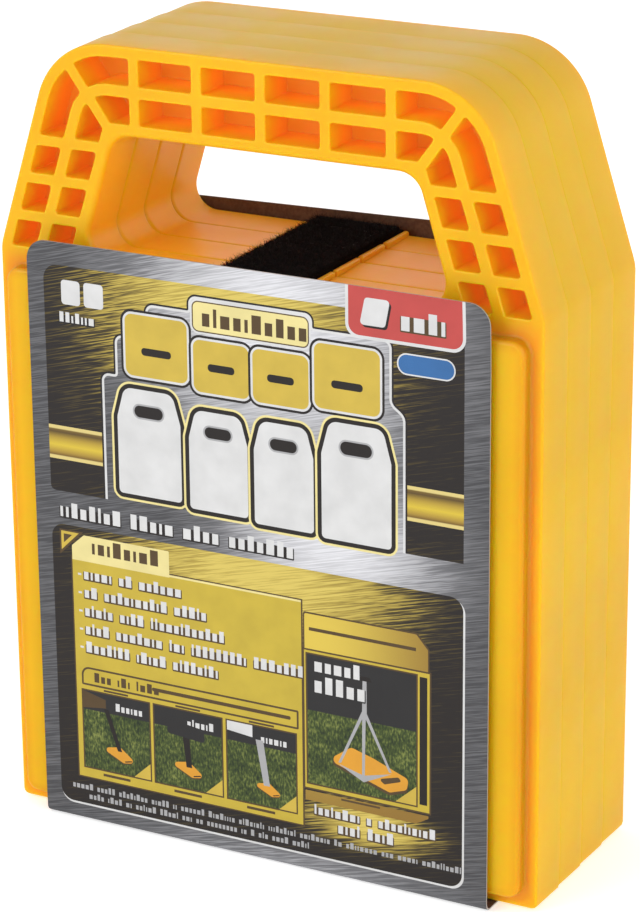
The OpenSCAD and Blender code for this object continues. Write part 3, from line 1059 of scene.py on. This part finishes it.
def make_card():
    """Both halves of the card. Each is thin where its bottom flap laps the other's."""
    low, high = box("card_front_panel")
    half_w = high.x
    run = box("card_front_flap")[1].y - (low.y + CARD_FOLD_R)
    materials = [ink_material(name) for name in INKS]

    def add_card(name, sheet, side, lap_end, lift, nodes):
        def thick(points):
            return np.where(points[:, 1] < lap_end, LAP_T, CARD_T)

        steps = (lap_end - 0.03, lap_end + 0.03)
        card = card_mesh(name, sheet, low.y, side, steps, lift, thick, materials)
        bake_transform(card)
        stand_in(card, "card_print", *nodes)

    def corner_curl(points):
        toward = points[:, 0] / half_w + (points[:, 1] - high.z) / 26
        return 0.8 * np.clip((toward - 0.25) / 0.75, 0, 1) ** 2

    add_card("wrap_card_front", front_print(FOLD_END - run, high.z, half_w), -1,
             FOLD_END - run + LAP + 0.5, corner_curl,
             ("card_front_panel", "card_front_flap"))
    seam_s = FOLD_END - run + 1.2

    def lap_sink(points):
        return np.where(points[:, 1] < seam_s, -(LAP_T + 0.04), 0.0)

    add_card("wrap_card_back", back_print(FOLD_END - run - LAP + 2, box("card_back_panel")[1].z, half_w),
             1, seam_s, lap_sink, ("card_back_panel", "card_back_flap"))


# ---------------------------------------------------------------- materials
class Nodes:
    """A node tree, with a short call for each kind of node used here."""

    def __init__(self, tree):
        self.tree = tree

    def put(self, socket, value):
        """Gives a socket a number, a colour, a vector or another node's output."""
        if isinstance(value, bpy.types.NodeSocket):
            self.tree.links.new(value, socket)
        elif isinstance(value, tuple):
            socket.default_value = (*value, 1)[:len(socket.default_value)]
        else:
            socket.default_value = value

    def node(self, kind, inputs, **settings):
        node = self.tree.nodes.new(kind)
        for key, value in settings.items():
            setattr(node, key, value)
        for key, value in inputs.items():
            self.put(node.inputs[key], value)
        return node

    def noise(self, scale, detail, stretch=(1, 1, 1), turn=0):
        """Noise over self.where, stretched along lines turned by some degrees."""
        if turn:
            stretch = tuple(1 / v for v in stretch)
        place = {"Vector": self.where, "Rotation": (0, 0, math.radians(turn)), "Scale": stretch}
        mapping = self.node("ShaderNodeMapping", place, vector_type="TEXTURE" if turn else "POINT")
        inputs = {"Vector": mapping.outputs["Vector"], "Scale": scale, "Detail": detail}
        return self.node("ShaderNodeTexNoise", inputs).outputs["Fac"]

    def remap(self, value, low, high, to_low=0.0, to_high=1.0, kind="SMOOTHSTEP"):
        inputs = {"Value": value, "From Min": low, "From Max": high, "To Min": to_low, "To Max": to_high}
        return self.node("ShaderNodeMapRange", inputs, interpolation_type=kind).outputs["Result"]

    def maths(self, operation, a, b):
        return self.node("ShaderNodeMath", {0: a, 1: b}, operation=operation).outputs[0]

    def total(self, a, share_a, b, share_b):
        """The sum of two values, each times its share."""
        return self.maths("ADD", self.maths("MULTIPLY", a, share_a), self.maths("MULTIPLY", b, share_b))

    def ramp(self, value, stops):
        """stops are (place, colour), with colours in linear light, or one number for a grey."""
        ramp = self.node("ShaderNodeValToRGB", {"Fac": value})
        elements = ramp.color_ramp.elements
        while len(elements) < len(stops):
            elements.new(0.5)
        for element, (place, colour) in zip(elements, stops):
            element.position = place
            element.color = (*colour, 1) if isinstance(colour, tuple) else (colour, colour, colour, 1)
        return ramp.outputs["Color"]

    def mix(self, fac, a, b, blend="MIX"):
        inputs = {0: fac, 6: a, 7: b}
        return self.node("ShaderNodeMix", inputs, data_type="RGBA", blend_type=blend).outputs[2]


class Look(Nodes):
    """A material of its own, over object coordinates or a UV map."""

    def __init__(self, name, roughness, specular=0.5, uv_map=None):
        self.material = bpy.data.materials.new(name)
        self.material.use_nodes = True
        super().__init__(self.material.node_tree)
        if uv_map:
            self.where = self.node("ShaderNodeUVMap", {}, uv_map=uv_map).outputs["UV"]
        else:
            self.where = self.node("ShaderNodeTexCoord", {}).outputs["Object"]
        self.set("Roughness", roughness)
        self.set("Specular IOR Level", specular)

    def set(self, socket, value):
        self.put(self.tree.nodes["Principled BSDF"].inputs[socket], value)

    def attribute(self, name):
        return self.node("ShaderNodeAttribute", {}, attribute_name=name).outputs["Fac"]

    def bump(self, height, strength, distance):
        inputs = {"Height": height, "Strength": strength, "Distance": distance}
        self.set("Normal", self.node("ShaderNodeBump", inputs).outputs["Normal"])


def resin_material():
    """Moulded yellow resin, with painted shade and glow: cells, slot and seams a deeper orange, for light
    scattered inside.
    """
    look = Look("pad_resin", 0.36, 0.28)
    hollow = look.attribute("hollow")
    # Painted shade: the resin turns a deeper orange where it is painted deeper.
    colour = look.ramp(hollow, [(0.0, (0.77, 0.455, 0.006)), (0.3, (0.85, 0.44, 0.01)),
                                (0.65, (0.93, 0.42, 0.02)), (1.0, (0.97, 0.39, 0.03))])
    mottle = look.ramp(look.noise(26, 2), [(0.3, (0.93, 0.90, 0.9)), (0.7, 1)])
    colour = look.mix(1.0, colour, mottle, "MULTIPLY")
    # Painted shade in the groove at the platform's foot.
    colour = look.mix(look.attribute("crease"), colour, (0.78, 0.61, 0.85), "MULTIPLY")
    look.set("Base Color", colour)
    look.set("Roughness", look.remap(look.noise(60, 3), 0.3, 0.7, 0.3, 0.42))
    look.bump(look.noise(900, 2), 0.06, 0.0003)
    # Painted glow: the resin gives off orange light, strongest at the floors of pockets.
    look.set("Emission Color", (1.0, 0.27, 0.03))
    look.set("Emission Strength", look.maths("MULTIPLY", hollow, CELL_GLOW))
    look.set("Subsurface Weight", 1.0)
    look.set("Subsurface Radius", (1.0, 0.25, 0.05))
    look.set("Subsurface Scale", 0.006)
    return look.material


def pile_material():
    """Near-black brushed loop pile."""
    look = Look("strap_pile", 0.95, 0.15)
    fleck = look.noise(700, 3)
    look.set("Base Color", look.ramp(fleck, [(0.3, (0.002, 0.0015, 0.002)), (0.75, (0.010, 0.008, 0.009))]))
    look.bump(look.noise(1400, 3), 0.5, 0.0004)
    return look.material


def hook_material():
    look = Look("hook_tape", 0.45)
    grain = look.noise(500, 2)
    look.set("Base Color", look.ramp(grain, [(0.3, (0.010, 0.010, 0.011)), (0.7, (0.03, 0.03, 0.032))]))
    return look.material


def thread_material():
    look = Look("thread", 0.6)
    inputs = {"Vector": look.where, "Scale": 900.0}
    twist = look.node("ShaderNodeTexWave", inputs, bands_direction="DIAGONAL").outputs["Fac"]
    look.set("Base Color", look.ramp(twist, [(0.2, (0.010, 0.009, 0.010)), (0.8, (0.03, 0.028, 0.03))]))
    look.bump(twist, 0.4, 0.0001)
    return look.material


FLAT_INKS = {
    "dark": (0.016, 0.012, 0.011), "night": (0.022, 0.021, 0.022), "yellow": (0.52, 0.385, 0.035),
    "pale": (0.74, 0.64, 0.27), "gold": (0.56, 0.4, 0.051), "orange": (0.66, 0.30, 0.02),
    "white": (0.62, 0.62, 0.62), "grey": (0.36, 0.36, 0.37), "red": (0.49, 0.062, 0.055),
    "blue": (0.03, 0.13, 0.34), "brown": (0.085, 0.05, 0.018), "edge": (0.42, 0.41, 0.40),
}


def patch_value(look, centre, reach):
    """1 at a centre on the flat card, in mm, falling to 0 at the edge of an oval."""
    away = look.node("ShaderNodeVectorMath", {0: look.where, 1: (*centre, 0)}, operation="SUBTRACT")
    shrink = look.node("ShaderNodeVectorMath", {0: away.outputs[0], 1: (*reach, 1)}, operation="DIVIDE")
    length = look.node("ShaderNodeVectorMath", {0: shrink.outputs[0]}, operation="LENGTH")
    return look.remap(length.outputs["Value"], 0, 1, 1, 0)


def brushed(look):
    """Long fine streaks across the card."""
    broad = look.noise(1.0, 3, (0.055, 1.5, 1), STREAK_TURN)
    fine = look.noise(1.0, 2, (0.12, 3.0, 1), STREAK_TURN)
    return look.remap(look.total(broad, 0.5, fine, 0.5), 0.37, 0.63)


def steel_ink(look):
    bright = look.maths("MAXIMUM", patch_value(look, (8, 160), (74, 72)),
                        patch_value(look, (24, 98), (54, 40)))
    low = look.maths("MULTIPLY", patch_value(look, (10, 0), (80, 16)), 0.4)
    tone = look.total(look.maths("MAXIMUM", bright, low), 0.8, brushed(look), 0.26)
    return look.ramp(tone, [(0.05, (0.055, 0.055, 0.06)), (0.35, (0.15, 0.15, 0.16)),
                            (0.65, (0.40, 0.40, 0.42)), (1.0, (0.66, 0.66, 0.69))])


def streak_ink(look):
    gold = look.maths("MAXIMUM", patch_value(look, (-6, 158), (76, 62)),
                      patch_value(look, (2, 86), (78, 30)))
    gold = look.maths("MAXIMUM", gold, patch_value(look, (34, 18), (34, 12)))
    tone = look.maths("SUBTRACT", look.total(gold, 1.1, brushed(look), 0.5), 0.33)
    return look.ramp(tone, [(0.08, (0.016, 0.012, 0.011)), (0.3, (0.07, 0.05, 0.014)),
                            (0.6, (0.38, 0.28, 0.045)), (1.0, (0.60, 0.47, 0.10))])


def glow_ink(look):
    shine = patch_value(look, (18, 70), (44, 60))
    return look.ramp(shine, [(0.0, (0.25, 0.14, 0.02)), (1.0, (0.62, 0.46, 0.06))])


def beam_ink(look):
    split = look.node("ShaderNodeSeparateXYZ", {0: look.where})
    height = look.remap(split.outputs["Y"], *BEAM_Z, kind="LINEAR")
    line = (0.62, 0.50, 0.18)
    return look.ramp(height, [
        (0.0, line), (0.09, line), (0.12, (0.16, 0.09, 0.015)), (0.22, (0.36, 0.23, 0.03)),
        (0.42, (0.60, 0.44, 0.035)), (0.62, (0.40, 0.27, 0.03)), (0.80, (0.10, 0.06, 0.015)),
        (0.88, (0.16, 0.10, 0.02)), (0.91, line), (1.0, line)])


def grass_ink(look):
    blades = look.noise(1.1, 4, (1.6, 0.7, 1))
    shade = look.noise(0.16, 2)
    tone = look.maths("MULTIPLY", blades, look.maths("ADD", shade, 0.45))
    return look.ramp(tone, [(0.3, (0.012, 0.022, 0.008)), (0.5, (0.05, 0.075, 0.014)),
                            (0.75, (0.20, 0.23, 0.05))])


PATTERNED_INKS = {"steel": steel_ink, "streak": streak_ink, "glow": glow_ink, "beam": beam_ink,
                  "grass": grass_ink}


def ink_material(name):
    """One ink on the card's board, or the bare board itself."""
    if name == "board":
        look = Look("card_board", 0.85)
        colour = look.ramp(look.noise(900, 4), [(0.3, (0.085, 0.045, 0.03)), (0.7, (0.14, 0.085, 0.055))])
    else:
        look = Look("ink_" + name, 0.42, 0.4, "print")
        if name in PATTERNED_INKS:
            colour = PATTERNED_INKS[name](look)
        else:
            grain = look.ramp(look.noise(0.12, 3), [(0.3, 0.88), (0.7, 1)])
            colour = look.mix(1.0, FLAT_INKS[name], grain, "MULTIPLY")
        look.bump(look.noise(2.0, 2), 0.03, 0.0002)
    look.set("Base Color", colour)
    return look.material


# ---------------------------------------------------------------- stage
def make_camera():
    az, el, roll = (math.radians(a) for a in (CAMERA_AZ, CAMERA_EL, CAMERA_ROLL))
    back = Vector((math.sin(az) * math.cos(el), -math.cos(az) * math.cos(el), math.sin(el)))
    right = Vector((math.cos(az), math.sin(az), 0))
    up = back.cross(right)
    x = right * math.cos(roll) + up * math.sin(roll)
    y = up * math.cos(roll) - right * math.sin(roll)
    data = bpy.data.cameras.new("camera")
    data.lens = CAMERA_LENS
    data.sensor_width = 36
    camera = show("camera", data)
    matrix = Matrix((x, y, back)).transposed().to_4x4()
    matrix.translation = CAMERA_TARGET + back * CAMERA_DISTANCE
    camera.matrix_world = matrix
    bpy.context.scene.camera = camera


def area_light(name, place, power):
    """A square soft light that faces the middle of the pack."""
    data = bpy.data.lights.new(name, "AREA")
    data.size = LIGHT_SIZE
    data.energy = power
    light = show(name, data)
    light.location = place
    light.rotation_euler = (LIGHT_TARGET - light.location).to_track_quat("-Z", "Y").to_euler()


def make_stage():
    """A white floor and sky. The floor is darker in reflections, as in a studio with dark walls."""
    look = Look("floor", 0.8)
    mirrored_ray = look.node("ShaderNodeLightPath", {}).outputs["Is Glossy Ray"]
    look.set("Base Color", look.mix(mirrored_ray, (0.88, 0.88, 0.88), (0.55, 0.55, 0.55)))
    look.set("Emission Strength", look.remap(mirrored_ray, 0, 1, 0.48, 0.2))
    look.set("Emission Color", (1, 1, 1))
    half = FLOOR_W / 2
    corners = [(-half, -half, 0), (half, -half, 0), (half, half, 0), (-half, half, 0)]
    show("floor", new_mesh("floor", corners, [(0, 1, 2, 3)], [look.material]))
    area_light("key", (-0.7, -1.3, 1.0), 8.4)
    area_light("fill", (1.3, -0.7, 0.6), 5)
    world = bpy.data.worlds.new("studio")
    world.use_nodes = True
    nodes = Nodes(world.node_tree)
    toward = nodes.node("ShaderNodeTexCoord", {}).outputs["Generated"]
    height = nodes.node("ShaderNodeSeparateXYZ", {0: toward}).outputs["Z"]
    nodes.put(world.node_tree.nodes["Background"].inputs["Color"], nodes.ramp(height, SKY))
    bpy.context.scene.world = world
    bpy.context.scene.view_settings.view_transform = "Standard"


make_camera()
make_stage()
make_pads(resin_material())
make_strap()
make_card()
